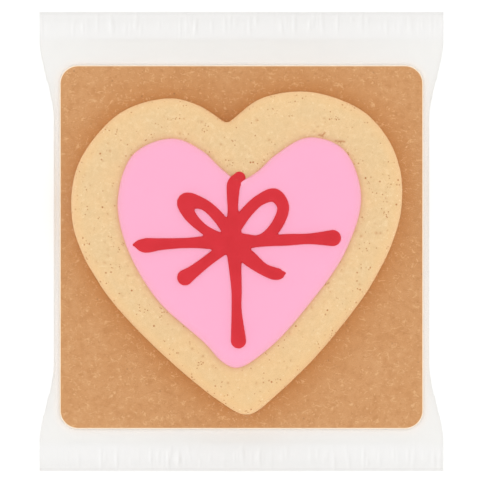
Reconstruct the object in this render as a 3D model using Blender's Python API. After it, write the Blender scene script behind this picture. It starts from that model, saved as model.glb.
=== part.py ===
"""An iced heart biscuit on its card, sealed in a clear film sleeve.

The pack lies on its back: +Z is up through the icing, +Y runs towards the end where the heart's
lobes are, and the origin is the middle of the pack's underside. The pieces, from the floor up,
are the film sleeve (a flattened tube round everything else), the card, the biscuit, a heart of
pink icing and a bow piped over it in red. Metres throughout.
"""

import math

import bmesh
import bpy
import numpy as np

MM = 0.001
GAP = 0.3 * MM  # left between pieces that lie on each other
HEART_SIDES = 96
BLUR_SIDES = 1440  # points that a heart's outline has while its corners are softened
BLUR_REACH = 60  # points on each side that the softening takes in

# Film sleeve: a tube pressed flat and sealed at both ends, drawn in where it goes round the card.
PACK_LENGTH = 139.8 * MM
SEAL_WIDTH = 123.0 * MM
WAIST_WIDTH = 114.2 * MM
FILM_WALL = 0.25 * MM
SEAL_DEPTH = 8.5 * MM
SHOULDER_START = 8 * MM  # where the sleeve starts to narrow, measured from its end
SHOULDER_END = 33 * MM  # where it has narrowed to its waist
FILM_COLUMNS = 31
FILM_CROWDING = 78  # degrees of a sine's rise that space the columns, closer towards the sides
FILM_ROWS = 37
FILM_FOLD = 0.985  # share of the half width that stays flat on the floor
FILM_EASE = 1.8 * MM  # how far inside the biscuit's edge the film starts to bend down
FILM_BEND = 0.16 / MM  # how sharply it bends there
FILM_REACH = 1.6 * MM  # how far past the icing's edge it stays up
FILM_STEPS = 1500

# Card
CARD_SIDE = 110.7 * MM
CARD_THICKNESS = 0.6 * MM
CARD_CORNER = 5 * MM
CARD_CORNER_STEPS = 6  # points on each corner's arc
CARD_SHIFT = -1.7 * MM  # the card sits a little nearer the heart's tip end of the sleeve

# Biscuit: the heart's outline, clockwise from the dip between its lobes
BISCUIT_POINTS = (
    (-4.4, 35.7), (6.1, 43.5), (21.6, 45.3), (38.0, 38.7), (47.2, 25.3), (48.4, 9.1),
    (41.6, -9.3), (26.6, -30.4), (10.9, -46.3), (1.9, -52.6), (-7.2, -48.1), (-26.1, -32.2),
    (-42.4, -14.0), (-51.1, 4.7), (-49.7, 22.9), (-38.9, 37.5), (-30.5, 41.9), (-20.7, 43.4),
    (-12.5, 41.1),
)  # fmt: skip
BISCUIT_THICKNESS = 9 * MM
BISCUIT_TOP_ROUND = 3.2 * MM
BISCUIT_BASE_ROUND = 1.0 * MM
BISCUIT_DOME = 0.3 * MM  # how much the middle of the top stands above its rim
BISCUIT_SOFTEN = 1.1 * MM  # how far the cutter's sharp corners have rounded in the oven

# Pink icing: a smaller heart, flooded by hand
ICING_POINTS = (
    (-0.8, 17.8), (5.0, 21.4), (10.1, 26.1), (20.1, 31.6), (30.8, 28.1), (36.3, 14.0),
    (31.5, -3.1), (20.4, -19.2), (8.8, -32.0), (-1.2, -38.4), (-5.7, -36.7), (-11.0, -31.0),
    (-25.4, -17.9), (-34.8, -1.7), (-37.6, 12.6), (-32.8, 26.5), (-20.9, 31.3), (-11.7, 27.4),
    (-6.6, 22.6),
)  # fmt: skip
ICING_THICKNESS = 1.2 * MM
ICING_SOFTEN = 0.7 * MM

# Red bow: piped strokes. Each point is x, y and half the width of the line there.
BOW_STROKES = {
    "upright": (
        (-0.7, 19.3, 1.9), (-2.2, 17.4, 2.0), (-2.6, 13.8, 1.8), (-2.6, 9.4, 1.6), (-2.4, 0.9, 2.6),
        (-1.9, -7.6, 1.9), (-1.5, -14.9, 1.5), (-1.5, -20.4, 1.5), (-0.9, -30.1, 2.3),
    ),
    "crossbar": (
        (-32.5, -0.8, 0.4), (-29.3, -1.3, 2.2), (-24.2, -0.8, 1.8), (-15.6, -0.4, 1.6),
        (-2.6, 0.0, 2.7), (6.3, 0.0, 1.7), (13.7, 0.5, 1.8), (20.3, 0.8, 1.6), (27.7, 1.0, 2.5),
    ),
    "left_loop_out": ((-2.6, 0.9, 2.0), (-6.9, 7.0, 1.9), (-11.6, 11.1, 1.8), (-16.7, 11.8, 2.6)),
    "left_loop_back": ((-16.7, 11.8, 2.6), (-15.3, 7.3, 1.8), (-11.6, 3.7, 1.5), (-3.7, -0.6, 2.1)),
    "right_loop_out": (
        (-2.2, 5.2, 2.0), (1.7, 9.1, 1.9), (5.6, 12.7, 1.8), (9.8, 14.0, 2.1), (12.6, 10.8, 1.8),
    ),
    "right_loop_back": ((12.6, 10.8, 1.8), (10.7, 4.7, 1.7), (6.3, 0.7, 1.7), (0.8, -0.3, 2.0)),
    "left_tail": ((-4.6, -1.4, 2.0), (-9.8, -5.4, 1.7), (-14.4, -8.9, 1.9), (-17.1, -11.0, 2.4)),
    "right_tail": (
        (-0.1, -3.0, 2.3), (2.6, -5.4, 2.3), (6.6, -8.3, 1.9), (10.3, -9.7, 1.9),
        (12.9, -9.8, 0.6),
    ),
}  # fmt: skip
BOW_RISE = 0.64  # height of a line as a share of half its width
BOW_SINK = 0.25 * MM  # how far the middle of the first round line lies under the flat base
BOW_STEP = 0.03 * MM  # how much higher each next line lies
BOW_SIDES = 10
BOW_SAMPLES = 4  # rings for each stretch between two points
BOW_CAP_ANGLES = (80, 52, 26)  # degrees, rings that round off a line's ends
BOW_HEIGHT = 1.45 * MM  # room for the knot, its highest place

# Heights of the stack, each piece's underside and top
CARD_BASE = FILM_WALL + GAP
CARD_TOP = CARD_BASE + CARD_THICKNESS
BISCUIT_BASE = CARD_TOP + GAP
BISCUIT_TOP = BISCUIT_BASE + BISCUIT_THICKNESS
ICING_BASE = BISCUIT_TOP + GAP
ICING_TOP = ICING_BASE + ICING_THICKNESS
BOW_BASE = ICING_TOP + GAP
BOW_TOP = BOW_BASE + BOW_HEIGHT

FILM_COLOUR = (0.90, 0.90, 0.88)
CARD_COLOUR = (0.64, 0.33, 0.14)
BISCUIT_COLOUR = (0.87, 0.61, 0.33)
PINK_COLOUR = (0.99, 0.46, 0.66)
RED_COLOUR = (0.68, 0.04, 0.05)


def clear_scene():
    for obj in list(bpy.data.objects):
        bpy.data.objects.remove(obj)


def material(name, colour, roughness, alpha=1.0):
    """A plain Principled finish, see-through where alpha is under 1."""
    made = bpy.data.materials.new(name)
    made.use_nodes = True
    shader = made.node_tree.nodes["Principled BSDF"]
    shader.inputs["Base Color"].default_value = (*colour, 1)
    shader.inputs["Roughness"].default_value = roughness
    shader.inputs["Metallic"].default_value = 0
    shader.inputs["Alpha"].default_value = alpha
    return made


def spline(points, samples):
    """A smooth curve through the points: a Catmull-Rom spline whose pace follows the square root
    of the points' spacing, which keeps it from looping. Each row may carry more than x and y."""
    points = np.array(points, float)
    knots = np.vstack([2 * points[0] - points[1], points, 2 * points[-1] - points[-2]])
    share = np.linspace(0, 1, samples, endpoint=False)[:, None]
    stretches = []
    for a, b, c, d in zip(knots, knots[1:], knots[2:], knots[3:]):
        t1 = math.sqrt(math.dist(a[:2], b[:2]))
        t2 = t1 + math.sqrt(math.dist(b[:2], c[:2]))
        t3 = t2 + math.sqrt(math.dist(c[:2], d[:2]))
        t = t1 + (t2 - t1) * share
        ab = a + (b - a) * t / t1
        bc = b + (c - b) * (t - t1) / (t2 - t1)
        cd = c + (d - c) * (t - t2) / (t3 - t2)
        first = ab + (bc - ab) * t / t2
        second = bc + (cd - bc) * (t - t1) / (t3 - t1)
        stretches.append(first + (second - first) * (t - t1) / (t2 - t1))
    return np.vstack([*stretches, points[-1:]])


def evenly_spaced(line, count):
    """The closed line again, as count points the same distance apart, and its length."""
    closed = np.vstack([line, line[:1]])
    run = np.concatenate([[0], np.cumsum(np.linalg.norm(np.diff(closed, axis=0), axis=1))])
    at = np.linspace(0, run[-1], count, endpoint=False)
    return np.stack([np.interp(at, run, column) for column in closed.T], axis=1), run[-1]


def heart(points, soften):
    """A heart's outline in metres, counter-clockwise, through the points in millimetres, with
    its corners softened by a blur along the line."""
    line = spline([*points, points[0]], 24)[:-1] * MM
    even, length = evenly_spaced(line, BLUR_SIDES)
    offsets = np.arange(-BLUR_REACH, BLUR_REACH + 1)
    weights = np.exp(-0.5 * (offsets * length / BLUR_SIDES / soften) ** 2)
    weights /= weights.sum()
    soft = sum(w * np.roll(even, k, axis=0) for w, k in zip(weights, offsets))
    outline, _ = evenly_spaced(soft, HEART_SIDES)
    return outline[::-1]


def inset(outline, distance):
    """The outline moved towards its inside, along its own normals."""
    along = np.roll(outline, -1, axis=0) - np.roll(outline, 1, axis=0)
    along /= np.linalg.norm(along, axis=1)[:, None]
    return outline + distance * np.stack([-along[:, 1], along[:, 0]], axis=1)


def ring_at(outline, height):
    return np.column_stack([outline, np.broadcast_to(height, len(outline))])


def loft(name, rings, finish, closed=False):
    """One solid whose skin runs through the rings in turn. It ends in flat caps, or, if closed,
    runs from the last ring back into the first."""
    mesh = bmesh.new()
    rows = [[mesh.verts.new(point) for point in ring] for ring in rings]
    pairs = list(zip(rows, rows[1:]))
    if closed:
        pairs.append((rows[-1], rows[0]))
    for low, high in pairs:
        for i in range(len(low)):
            mesh.faces.new((low[i - 1], low[i], high[i], high[i - 1]))
    if not closed:
        mesh.faces.new(rows[0][::-1])
        mesh.faces.new(rows[-1])
    bmesh.ops.recalc_face_normals(mesh, faces=mesh.faces)
    data = bpy.data.meshes.new(name)
    mesh.to_mesh(data)
    mesh.free()
    data.materials.append(finish)
    data.shade_smooth()
    data.set_sharp_from_angle(angle=math.radians(35))
    obj = bpy.data.objects.new(name, data)
    bpy.context.scene.collection.objects.link(obj)
    return obj


def make_card():
    """A flat square of board with rounded corners."""
    half = CARD_SIDE / 2 - CARD_CORNER
    turns = np.linspace(0, math.pi / 2, CARD_CORNER_STEPS)
    arcs = []
    for quarter, corner in enumerate(((1, 1), (-1, 1), (-1, -1), (1, -1))):
        angles = turns + quarter * math.pi / 2
        arc = CARD_CORNER * np.stack([np.cos(angles), np.sin(angles)], axis=1)
        arcs.append(arc + half * np.array(corner))
    outline = np.vstack(arcs) + (0, CARD_SHIFT)
    finish = material("kraft_board", CARD_COLOUR, 0.85)
    return loft("card", [ring_at(outline, CARD_BASE), ring_at(outline, CARD_TOP)], finish)


def make_biscuit():
    """A thick heart, its base barely rounded, its top edge well rounded and its top domed."""
    outline = heart(BISCUIT_POINTS, BISCUIT_SOFTEN)
    rings = []
    for angle in np.radians((0, 45, 90)):
        back = BISCUIT_BASE_ROUND * (1 - math.sin(angle))
        up = BISCUIT_BASE_ROUND * (1 - math.cos(angle))
        rings.append(ring_at(inset(outline, back), BISCUIT_BASE + up))
    rim = BISCUIT_TOP - BISCUIT_DOME
    for angle in np.radians((0, 25, 50, 72, 90)):
        back = BISCUIT_TOP_ROUND * (1 - math.cos(angle))
        up = BISCUIT_TOP_ROUND * (1 - math.sin(angle))
        rings.append(ring_at(inset(outline, back), rim - up))
    edge = inset(outline, BISCUIT_TOP_ROUND)
    middle = edge.mean(axis=0)
    for share in (0.75, 0.45, 0.15):
        height = BISCUIT_TOP - BISCUIT_DOME * share**2
        rings.append(ring_at(middle + (edge - middle) * share, height))
    return loft("biscuit", rings, material("baked_biscuit", BISCUIT_COLOUR, 0.8))


def make_icing():
    """A thin heart with a rounded edge, as icing that ran out and set."""
    outline = heart(ICING_POINTS, ICING_SOFTEN)
    rings = [ring_at(inset(outline, 0.25 * ICING_THICKNESS), ICING_BASE)]
    for angle in np.radians((0, 35, 65, 90)):
        back = 0.75 * ICING_THICKNESS * (1 - math.cos(angle))
        up = 0.75 * ICING_THICKNESS * (1 - math.sin(angle))
        rings.append(ring_at(inset(outline, back), ICING_TOP - up))
    return loft("pink_icing", rings, material("pink_icing", PINK_COLOUR, 0.55))


def stroke(name, points, height, finish):
    """A piped line: an ellipse carried along a spline, with round ends. What lies under the bow's
    base is cut away afterwards."""
    path = spline(points, BOW_SAMPLES) * MM
    centres, widths = path[:, :2], path[:, 2]
    along = np.gradient(centres, axis=0)
    along /= np.linalg.norm(along, axis=1)[:, None]
    stops = [
        (centres[0] - along[0] * widths[0] * math.sin(a), along[0], widths[0] * math.cos(a))
        for a in np.radians(BOW_CAP_ANGLES)
    ]
    stops += list(zip(centres, along, widths))
    stops += [
        (centres[-1] + along[-1] * widths[-1] * math.sin(a), along[-1], widths[-1] * math.cos(a))
        for a in np.radians(BOW_CAP_ANGLES[::-1])
    ]
    turns = np.arange(BOW_SIDES) * 2 * math.pi / BOW_SIDES
    rings = []
    for centre, (dx, dy), width in stops:
        across = np.outer(width * np.cos(turns), (-dy, dx)) + centre
        rings.append(ring_at(across, height + BOW_RISE * width * np.sin(turns)))
    return loft(name, rings, finish)


def helper(obj):
    """A shape that only cuts or joins others, and isn't a piece itself."""
    obj.hide_render = True
    obj.display_type = "WIRE"
    return obj


def combine(obj, other, operation):
    modifier = obj.modifiers.new(other.name, "BOOLEAN")
    modifier.operation = operation
    modifier.object = helper(other)


def make_bow():
    """All strokes joined into one piece, flat underneath."""
    finish = material("red_icing", RED_COLOUR, 0.5)
    lines = []
    for order, (name, points) in enumerate(BOW_STROKES.items()):
        height = BOW_BASE - BOW_SINK + BOW_STEP * order
        lines.append(stroke(name, points, height, finish))
    bow = lines[0]
    bow.name = "red_bow"
    for line in lines[1:]:
        combine(bow, line, "UNION")
    reach, depth = CARD_SIDE / 2, 5 * MM
    square = np.array([(-reach, -reach), (reach, -reach), (reach, reach), (-reach, reach)])
    below = loft("below", [ring_at(square, BOW_BASE - depth), ring_at(square, BOW_BASE)], finish)
    combine(bow, below, "DIFFERENCE")
    return bow


def inside_by(outline, x, y):
    """How far each point lies inside the outline, and negative outside it."""
    points = np.stack([x, y], axis=-1)[..., None, :]
    start, step = outline, np.roll(outline, -1, axis=0) - outline
    share = ((points - start) * step).sum(-1) / (step**2).sum(-1)
    nearest = start + np.clip(share, 0, 1)[..., None] * step
    distance = np.linalg.norm(points - nearest, axis=-1).min(-1)
    px, py = points[..., 0], points[..., 1]
    end = start + step
    spans = (start[:, 1] > py) != (end[:, 1] > py)
    rise = np.where(step[:, 1] == 0, 1, step[:, 1])
    left = px < start[:, 0] + (py - start[:, 1]) * step[:, 0] / rise
    return np.where((spans & left).sum(-1) % 2 == 1, distance, -distance)


def half_width(y):
    """Half the sleeve's width: full at the sealed ends, eased in to the waist."""
    share = (PACK_LENGTH / 2 - abs(y) - SHOULDER_START) / (SHOULDER_END - SHOULDER_START)
    share = np.clip(share, 0, 1)
    ease = share * share * (3 - 2 * share)
    return (SEAL_WIDTH + (WAIST_WIDTH - SEAL_WIDTH) * ease) / 2 - FILM_WALL


def film_heights(x, y):
    """The inside of the film's front: a skin pulled tight over what is in the sleeve. It starts
    as high as the pieces under it, and each step lets it sag to the mean of its neighbours
    without going through them."""
    seam = FILM_WALL + GAP
    card = CARD_SIDE / 2 + FILM_REACH / 2
    on_card = (abs(x) < card) & (abs(y - CARD_SHIFT) < card)
    under = np.where(on_card, CARD_TOP + GAP, seam)
    biscuit = inside_by(heart(BISCUIT_POINTS, BISCUIT_SOFTEN), x, y)
    bend = FILM_BEND * np.maximum(FILM_EASE - biscuit, 0) ** 2
    under = np.maximum(under, BISCUIT_TOP + GAP - bend)
    icing = inside_by(heart(ICING_POINTS, ICING_SOFTEN), x, y)
    under[icing > -FILM_REACH] = ICING_TOP + GAP
    under[icing > FILM_REACH] = BOW_TOP + GAP
    height = under.copy()
    for _ in range(FILM_STEPS):
        mean = (height[1:-1, :-2] + height[1:-1, 2:] + height[:-2, 1:-1] + height[2:, 1:-1]) / 4
        height[1:-1, 1:-1] = np.maximum(under[1:-1, 1:-1], mean)
    sealed = abs(y) > PACK_LENGTH / 2 - SEAL_DEPTH
    height[sealed] = seam
    return height


def make_film():
    """The sleeve: a tube with thin walls, held open by the pieces in it and pressed flat at its
    ends, where a slit as thin as the gap between pieces is left in each seal."""
    across = np.sin(np.linspace(-1, 1, FILM_COLUMNS) * math.radians(FILM_CROWDING))
    across /= across[-1]
    y = np.linspace(-PACK_LENGTH / 2, PACK_LENGTH / 2, FILM_ROWS)
    width = half_width(y)
    grid_x = np.outer(width, across)
    grid_y = np.broadcast_to(y[:, None], grid_x.shape)
    roof = film_heights(grid_x, grid_y)
    fold = FILM_WALL + GAP / 2
    skins = {}
    for side, wall, floor in (("outer", FILM_WALL, 0), ("inner", 0, FILM_WALL)):
        skins[side] = []
        for row in range(FILM_ROWS):
            edge = width[row] + wall
            back = FILM_FOLD * edge
            x = np.concatenate([[-edge], grid_x[row, 1:-1], [edge, back, -back]])
            z = np.concatenate([[fold], roof[row, 1:-1] + wall, [fold, floor, floor]])
            skins[side].append(np.column_stack([x, np.full(len(x), y[row]), z]))
    finish = material("clear_film", FILM_COLOUR, 0.15, alpha=0.25)
    return loft("film_sleeve", skins["outer"] + skins["inner"][::-1], finish, closed=True)


def main():
    clear_scene()
    make_card()
    make_biscuit()
    make_icing()
    make_bow()
    make_film()


main()
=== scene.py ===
# %% [markdown]
# # An iced heart cookie on its card, in a clear sleeve
#
# The real thing is a gift from a bakery shelf: a thick sugar cookie cut as a heart, flooded with
# pink icing, a bow piped over it in red, laid on a square of brown kraft card and sealed in clear
# film. The CAD model already holds every piece at its true size. This lesson gives the pieces
# their surfaces: crumb and pinholes in the dough, the round lip of set icing, fibres in the board,
# and the crimped ends of the film.
#
# Each new shape is a formula on a grid of points, worked out with numpy as whole arrays. Lengths
# are in metres, +Z is up through the icing and +Y runs towards the heart's lobes.

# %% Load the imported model
import math

import bpy
import numpy as np
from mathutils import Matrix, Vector


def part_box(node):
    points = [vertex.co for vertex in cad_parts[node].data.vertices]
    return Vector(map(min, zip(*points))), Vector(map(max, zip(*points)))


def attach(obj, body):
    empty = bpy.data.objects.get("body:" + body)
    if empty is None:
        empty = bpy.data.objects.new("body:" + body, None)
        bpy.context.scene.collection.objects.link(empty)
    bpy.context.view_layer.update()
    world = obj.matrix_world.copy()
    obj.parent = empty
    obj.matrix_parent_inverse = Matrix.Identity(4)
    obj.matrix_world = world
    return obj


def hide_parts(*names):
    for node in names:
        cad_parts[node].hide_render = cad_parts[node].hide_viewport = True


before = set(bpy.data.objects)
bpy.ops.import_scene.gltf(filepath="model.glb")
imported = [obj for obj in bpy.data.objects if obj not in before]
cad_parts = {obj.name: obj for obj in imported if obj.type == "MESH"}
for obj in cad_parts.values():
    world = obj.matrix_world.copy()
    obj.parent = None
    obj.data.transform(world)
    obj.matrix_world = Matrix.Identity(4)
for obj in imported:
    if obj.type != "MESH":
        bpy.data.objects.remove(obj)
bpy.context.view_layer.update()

MM = 0.001

# %% [markdown]
# ## Where things are
#
# The frame knows where every solid lies, so the heights of the stack are read from it and not
# typed in. A learner could measure these in the viewport, but then a change in the CAD model
# would leave the dressed model behind.

# %% Heights of the stack, from the frame
card_low, card_high = (np.array(corner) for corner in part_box("card"))
biscuit_low, biscuit_high = (np.array(corner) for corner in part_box("biscuit"))
icing_low, icing_high = (np.array(corner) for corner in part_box("pink_icing"))
bow_low, bow_high = (np.array(corner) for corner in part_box("red_bow"))
film_low, film_high = (np.array(corner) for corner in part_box("film_sleeve"))
for name, top in (("card", card_high), ("biscuit", biscuit_high), ("icing", icing_high)):
    print(f"top of the {name}: {top[2] / MM:.2f} mm")

# %% [markdown]
# ## Outlines cut and piped by hand
#
# A cookie cutter's heart and a flooded heart of icing are both smooth closed lines. They could be
# drawn as Bezier curves; a spline through a few chosen points does the same in one function, and
# the points stay readable. The Catmull-Rom form passes through every point, and its pace follows
# the square root of their spacing, which keeps tight turns free of loops.

# %% A spline through points
def spline(points, samples):
    """Smooth line through the points: between two of them it is a blend of the straight lines
    through their neighbours, weighted by how far along the stretch it has come."""
    points = np.array(points, float)
    knots = np.vstack([2 * points[0] - points[1], points, 2 * points[-1] - points[-2]])
    share = np.linspace(0, 1, samples, endpoint=False)[:, None]
    stretches = []
    for a, b, c, d in zip(knots, knots[1:], knots[2:], knots[3:]):
        t1 = math.sqrt(math.dist(a[:2], b[:2]))
        t2 = t1 + math.sqrt(math.dist(b[:2], c[:2]))
        t3 = t2 + math.sqrt(math.dist(c[:2], d[:2]))
        t = t1 + (t2 - t1) * share
        ab = a + (b - a) * t / t1
        bc = b + (c - b) * (t - t1) / (t2 - t1)
        cd = c + (d - c) * (t - t2) / (t3 - t2)
        first = ab + (bc - ab) * t / t2
        second = bc + (cd - bc) * (t - t1) / (t3 - t1)
        stretches.append(first + (second - first) * (t - t1) / (t2 - t1))
    return np.vstack([*stretches, points[-1:]])


# %% Even steps along a closed line
def evenly_spaced(line, count):
    """The closed line as count points the same distance apart, and its length."""
    closed = np.vstack([line, line[:1]])
    run = np.concatenate([[0], np.cumsum(np.linalg.norm(np.diff(closed, axis=0), axis=1))])
    at = np.linspace(0, run[-1], count, endpoint=False)
    return np.stack([np.interp(at, run, column) for column in closed.T], axis=1), run[-1]


# %% A heart's outline
def heart(points, soften, count):
    """A closed spline through the points, given in mm, with its corners softened by a blur along
    the line. Counter-clockwise, in metres."""
    even, length = evenly_spaced(spline([*points, points[0]], 24)[:-1] * MM, 1440)
    offsets = np.arange(-60, 61)
    weights = np.exp(-0.5 * (offsets * length / len(even) / soften) ** 2)
    soft = sum(w * np.roll(even, k, axis=0) for w, k in zip(weights / weights.sum(), offsets))
    return evenly_spaced(soft, count)[0][::-1]


def inset(outline, distance):
    """The outline moved towards its inside along its own normals."""
    along = np.roll(outline, -1, axis=0) - np.roll(outline, 1, axis=0)
    along /= np.linalg.norm(along, axis=1)[:, None]
    return outline + distance * np.stack([-along[:, 1], along[:, 0]], axis=1)


# %% The two hearts, clockwise from the dip between the lobes
BISCUIT_POINTS = (
    (-4.4, 35.7), (6.1, 43.5), (21.6, 45.3), (38.0, 38.7), (47.2, 25.3), (48.4, 9.1),
    (41.6, -9.3), (26.6, -30.4), (10.9, -46.3), (1.9, -52.6), (-7.2, -48.1), (-26.1, -32.2),
    (-42.4, -14.0), (-51.1, 4.7), (-49.7, 22.9), (-38.9, 37.5), (-30.5, 41.9), (-20.7, 43.4),
    (-12.5, 41.1),
)
ICING_POINTS = (
    (-0.8, 17.8), (5.0, 21.4), (10.1, 26.1), (20.1, 31.6), (30.8, 28.1), (36.3, 14.0),
    (31.5, -3.1), (20.4, -19.2), (8.8, -32.0), (-1.2, -38.4), (-5.7, -36.7), (-11.0, -31.0),
    (-25.4, -17.9), (-34.8, -1.7), (-37.6, 12.6), (-32.8, 26.5), (-20.9, 31.3), (-11.7, 27.4),
    (-6.6, 22.6),
)
AROUND = 720  # points round each heart
biscuit_edge = heart(BISCUIT_POINTS, 1.1 * MM, AROUND)
icing_edge = heart(ICING_POINTS, 0.7 * MM, AROUND)
print("biscuit, mm:", np.round(np.ptp(biscuit_edge, axis=0) / MM, 1))
print("icing, mm:", np.round(np.ptp(icing_edge, axis=0) / MM, 1))


# %% How far inside an outline a point lies
def inside_by(outline, x, y):
    """Distance to the nearest side of the outline, counted negative outside it. A point is inside
    if a ray to the right crosses the outline an odd number of times."""
    sides = outline[:: max(1, len(outline) // 160)]
    step = np.roll(sides, -1, axis=0) - sides
    result = np.empty(np.size(x))
    flat = np.stack([np.ravel(x), np.ravel(y)], axis=-1)
    for start in range(0, len(flat), 8192):
        points = flat[start : start + 8192, None, :]
        share = ((points - sides) * step).sum(-1) / (step**2).sum(-1)
        nearest = sides + np.clip(share, 0, 1)[..., None] * step
        distance = np.linalg.norm(points - nearest, axis=-1).min(-1)
        low = sides[:, 1] > points[..., 1]
        high = (sides + step)[:, 1] > points[..., 1]
        rise = np.where(step[:, 1] == 0, 1, step[:, 1])
        left = points[..., 0] < sides[:, 0] + (points[..., 1] - sides[:, 1]) * step[:, 0] / rise
        odd = ((low != high) & left).sum(-1) % 2 == 1
        result[start : start + 8192] = np.where(odd, distance, -distance)
    return result.reshape(np.shape(x))


def smooth_step(low, high, value):
    """0 below low, 1 above high, and an S between them: 3t squared less 2t cubed."""
    t = np.clip((value - low) / (high - low), 0, 1)
    return t * t * (3 - 2 * t)


# %% [markdown]
# ## Unevenness
#
# Nothing baked or poured is quite flat. Blender's Displace modifier could roughen a finished
# mesh; here the same is done while the grid is still numbers, which keeps the relief the same on
# every run. The function below is value noise: random heights at the corners of a cubic lattice,
# joined by smooth steps.

# %% Value noise
def unevenness(points, size, seed):
    """Hills and dips between -1 and 1, about size across: random heights at the corners of a
    cubic lattice, joined by the smooth step."""
    lattice = np.random.default_rng(seed).uniform(-1, 1, (32, 32, 32))
    place = points / size
    cell = np.floor(place).astype(int)
    t = place - cell
    t = t * t * (3 - 2 * t)
    total = np.zeros(points.shape[:-1])
    for corner in np.ndindex(2, 2, 2):
        i, j, k = np.moveaxis((cell + corner) % 32, -1, 0)
        weight = np.prod(np.where(corner, t, 1 - t), axis=-1)
        total += weight * lattice[i, j, k]
    return total


# %% [markdown]
# ## From a grid of points to a mesh
#
# Every solid here is a stack of closed rings, like the contour lines of a hill, with a single
# point at its bottom and its top. Spin or loft tools could skin them one by one. One function
# that fills a whole grid with four-sided faces serves all pieces, and it keeps the faces turned
# outwards because every ring runs counter-clockwise and the rings go from bottom to top.

# %% A closed skin over a stack of rings
def skin(name, rings, finish, marks=None):
    """Object whose surface passes through rings, an array of (rings, points, 3). The first and
    the last ring are each a single place, the poles. marks are named numbers for each point."""
    count, around = rings.shape[:2]
    points = np.vstack([rings[0, :1], rings[1:-1].reshape(-1, 3), rings[-1, :1]])
    ring = 1 + np.arange((count - 2) * around).reshape(count - 2, around)
    after = np.roll(ring, -1, axis=1)
    quads = np.stack([ring[:-1], after[:-1], after[1:], ring[1:]], axis=-1).reshape(-1, 4)
    foot = np.stack([np.zeros(around, int), after[0], ring[0]], axis=-1)
    head = np.stack([ring[-1], after[-1], np.full(around, len(points) - 1)], axis=-1)
    mesh = bpy.data.meshes.new(name)
    mesh.from_pydata(points.tolist(), [], [*foot.tolist(), *quads.tolist(), *head.tolist()])
    for mark, values in (marks or {}).items():
        held = np.concatenate([values[0, :1], values[1:-1].ravel(), values[-1, :1]])
        mesh.attributes.new(mark, "FLOAT", "POINT").data.foreach_set("value", held)
    return placed(name, mesh, finish)


def placed(name, mesh, finish):
    """The mesh as an object at the origin, shaded smooth, in the one finish."""
    mesh.shade_smooth()
    mesh.materials.append(finish)
    piece = bpy.data.objects.new(name, mesh)
    bpy.context.scene.collection.objects.link(piece)
    print(f"{name}: {len(mesh.polygons)} faces")
    return piece


# %% Rings that move along their own normals
def raised(rings, height):
    """The grid moved by height along its normals: the cross product of the directions to the
    next point round the ring and to the next ring up."""
    around = np.roll(rings, -1, axis=1) - np.roll(rings, 1, axis=1)
    up = np.gradient(rings, axis=0)
    normal = np.cross(around, up)
    length = np.linalg.norm(normal, axis=-1, keepdims=True)
    return rings + height[..., None] * normal / np.maximum(length, 1e-12)


def ring_at(outline, height):
    """The flat outline as a ring of points at one height."""
    return np.column_stack([outline, np.full(len(outline), height)])


def shrunk_rings(edge, middle, shares, height):
    """Rings that keep the edge's form and shrink towards the middle, at the given height."""
    return [ring_at(middle + (edge - middle) * share, height) for share in shares]


# %% [markdown]
# ## Finishes
#
# A small helper starts each material, and a second one chains nodes, so that a finish reads as a
# short recipe. What is the same all over a surface is set on the shader's own socket. Patterns
# read Object coordinates, so they stay put on the piece whatever the view.

# %% Helpers for materials
def finish(name, roughness):
    """A material with a Principled shader, and the shader's node."""
    made = bpy.data.materials.new(name)
    made.use_nodes = True
    shader = made.node_tree.nodes["Principled BSDF"]
    shader.inputs["Roughness"].default_value = roughness
    shader.inputs["Metallic"].default_value = 0
    return made, shader


def node(material, kind, inputs=None, **settings):
    """A node of that kind. inputs gives each socket a value, or another node's output."""
    made = material.node_tree.nodes.new(f"ShaderNode{kind}")
    for key, value in settings.items():
        setattr(made, key, value)
    for key, value in (inputs or {}).items():
        if isinstance(value, bpy.types.NodeSocket):
            material.node_tree.links.new(value, made.inputs[key])
        else:
            made.inputs[key].default_value = value
    return made


def blend(material, share, first, second):
    """Colour that goes from first to second as share goes from 0 to 1."""
    mix = node(material, "Mix", data_type="RGBA", clamp_factor=True)
    for index, value in ((0, share), (6, first), (7, second)):
        if isinstance(value, bpy.types.NodeSocket):
            material.node_tree.links.new(value, mix.inputs[index])
        elif isinstance(value, tuple):
            mix.inputs[index].default_value = (*value, 1)
        else:
            mix.inputs[index].default_value = value
    return mix.outputs[2]


def between(material, value, low, high, to_low=0.0, to_high=1.0):
    """The value's place between low and high, as a number from to_low to to_high."""
    ranged = node(material, "MapRange", {"Value": value})
    for key, number in (("From Min", low), ("From Max", high), ("To Min", to_low), ("To Max", to_high)):
        ranged.inputs[key].default_value = number
    return ranged.outputs["Result"]


def maths(material, operation, first, second=0.0):
    """One sum on two numbers or outputs."""
    return node(material, "Math", {0: first, 1: second}, operation=operation).outputs[0]


def noise(material, size, detail=2.0, roughness=0.5, distortion=0.0, stretch=(1, 1, 1), turn=0.0):
    """Cloudy noise between 0 and 1, its clouds about size metres across."""
    place = node(material, "TexCoord").outputs["Object"]
    mapping = node(material, "Mapping", {"Vector": place, "Scale": stretch, "Rotation": (0, 0, turn)})
    made = node(
        material,
        "TexNoise",
        {
            "Vector": mapping.outputs[0],
            "Scale": 1 / size,
            "Detail": detail,
            "Roughness": roughness,
            "Distortion": distortion,
        },
    )
    return made.outputs["Fac"]


def spots(material, size, radius):
    """1 in the middle of round spots of that radius, one for each cell about size across."""
    place = node(material, "TexCoord").outputs["Object"]
    cells = node(material, "TexVoronoi", {"Vector": place, "Scale": 1 / size})
    return between(material, cells.outputs["Distance"], radius / size, 0.0)


def bump(material, shader, height, depth, strength=1.0):
    """Shading as if the surface rose by depth where height is 1."""
    made = node(material, "Bump", {"Height": height, "Distance": depth, "Strength": strength})
    material.node_tree.links.new(made.outputs[0], shader.inputs["Normal"])


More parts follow.
